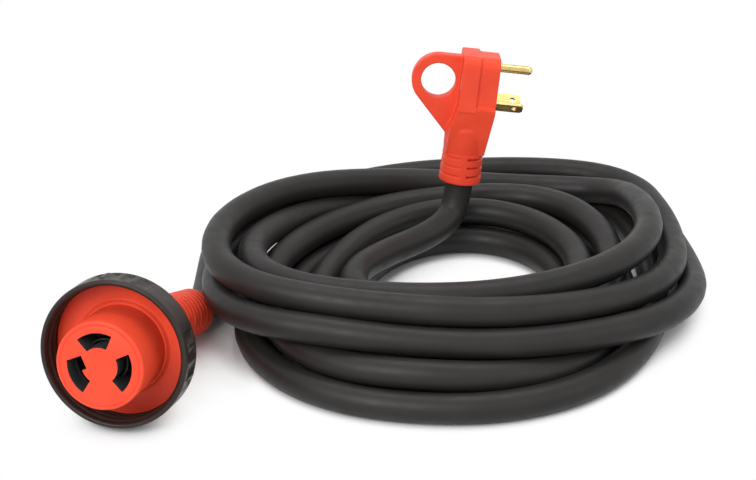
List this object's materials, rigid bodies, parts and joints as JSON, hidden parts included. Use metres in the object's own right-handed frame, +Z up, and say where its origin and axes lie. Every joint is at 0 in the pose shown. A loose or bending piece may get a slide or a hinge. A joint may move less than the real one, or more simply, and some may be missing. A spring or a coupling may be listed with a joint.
{
  "type": "shore power cord",
  "caption": "Thick black power cord in a loose pile, with a red-orange twist-lock connector behind a black locking ring and a moulded plug with a finger loop.",
  "frame": {"origin": "on the floor, under the middle of the box around the plug and the connector", "axes": "+Z up, +X the way the plug's pins point, -Y the way the connector faces; the cord lies on z = 0"},
  "size_m": [0.3801, 0.3276, 0.1352],
  "materials": {
    "moulding_red_orange": "moulded, slightly glossy",
    "ring_black": "moulded, semi-gloss",
    "cord_black": "satin jacket",
    "brass": "bare, lightly polished",
    "carrier_plastic": "moulded",
    "wire_black": "insulation",
    "wire_white": "insulation",
    "wire_green": "insulation"
  },
  "bodies": {
    "cord_set": {"connector_shell": "moulding_red_orange", "contact_block": "moulding_red_orange", "contact_hot": "brass", "contact_neutral": "brass", "contact_ground": "brass", "connector_boot": "moulding_red_orange", "connector_cord_end": "cord_black", "connector_wire_hot": "wire_black", "connector_wire_neutral": "wire_white", "connector_wire_ground": "wire_green", "connector_lead": "cord_black", "cord_coil": "cord_black", "plug_lead": "cord_black", "plug_housing": "moulding_red_orange", "plug_relief": "moulding_red_orange", "pin_carrier": "carrier_plastic", "ground_pin": "brass", "blade_hot": "brass", "blade_neutral": "brass", "plug_wire_hot": "wire_black", "plug_wire_neutral": "wire_white", "plug_wire_ground": "wire_green", "plug_cord_end": "cord_black"},
    "ring": {"locking_ring": "ring_black"}
  },
  "joints": [
    {"name": "ring_spin", "type": "hinge", "parent": "cord_set", "child": "ring", "pos_m": [-0.0942, -0.09, 0.0416], "axis": [-0.2194, -0.9502, 0.2215], "continuous": true}
  ]
}
